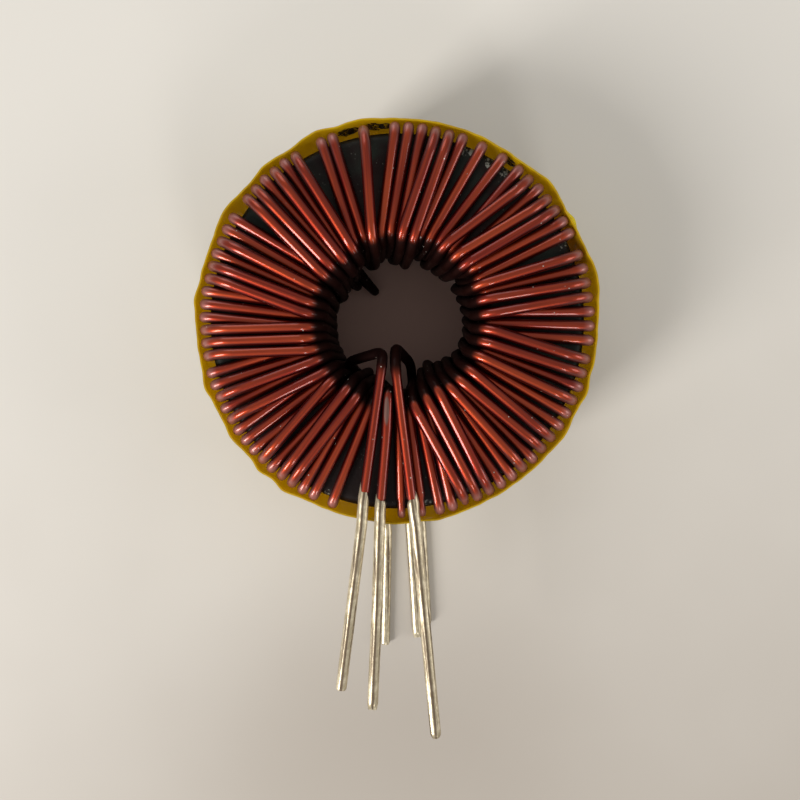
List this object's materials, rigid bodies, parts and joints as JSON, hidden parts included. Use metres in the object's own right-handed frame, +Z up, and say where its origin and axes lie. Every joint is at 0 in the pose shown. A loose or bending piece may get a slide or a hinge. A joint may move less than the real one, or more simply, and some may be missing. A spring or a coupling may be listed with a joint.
{
  "type": "toroidal inductor",
  "caption": "Toroidal inductor lying flat: powder ring with a winding of three parallel enamelled wires, tape round the outside and straight soldered ends.",
  "frame": {"origin": "on the ring's axis, at the plane it rests on", "axes": "+Z up along the ring's axis, -Y the way the wire ends point, +X to their right seen from behind them"},
  "size_m": [0.0507, 0.078, 0.0232],
  "materials": {
    "core_coating": "satin epoxy coating, dark greenish grey",
    "enamelled_wire": "glossy red-brown enamel over copper",
    "solder": "dull tin with streaks",
    "film_tape": "yellow polyester film"
  },
  "bodies": {
    "root": {"ring_core": "core_coating", "outer_tape": "film_tape", "wire_strand_a": "enamelled_wire", "tinned_end_high_a": "solder", "tinned_end_low_a": "solder", "wire_strand_b": "enamelled_wire", "tinned_end_high_b": "solder", "tinned_end_low_b": "solder", "wire_strand_c": "enamelled_wire", "tinned_end_high_c": "solder", "tinned_end_low_c": "solder"}
  },
  "joints": []
}
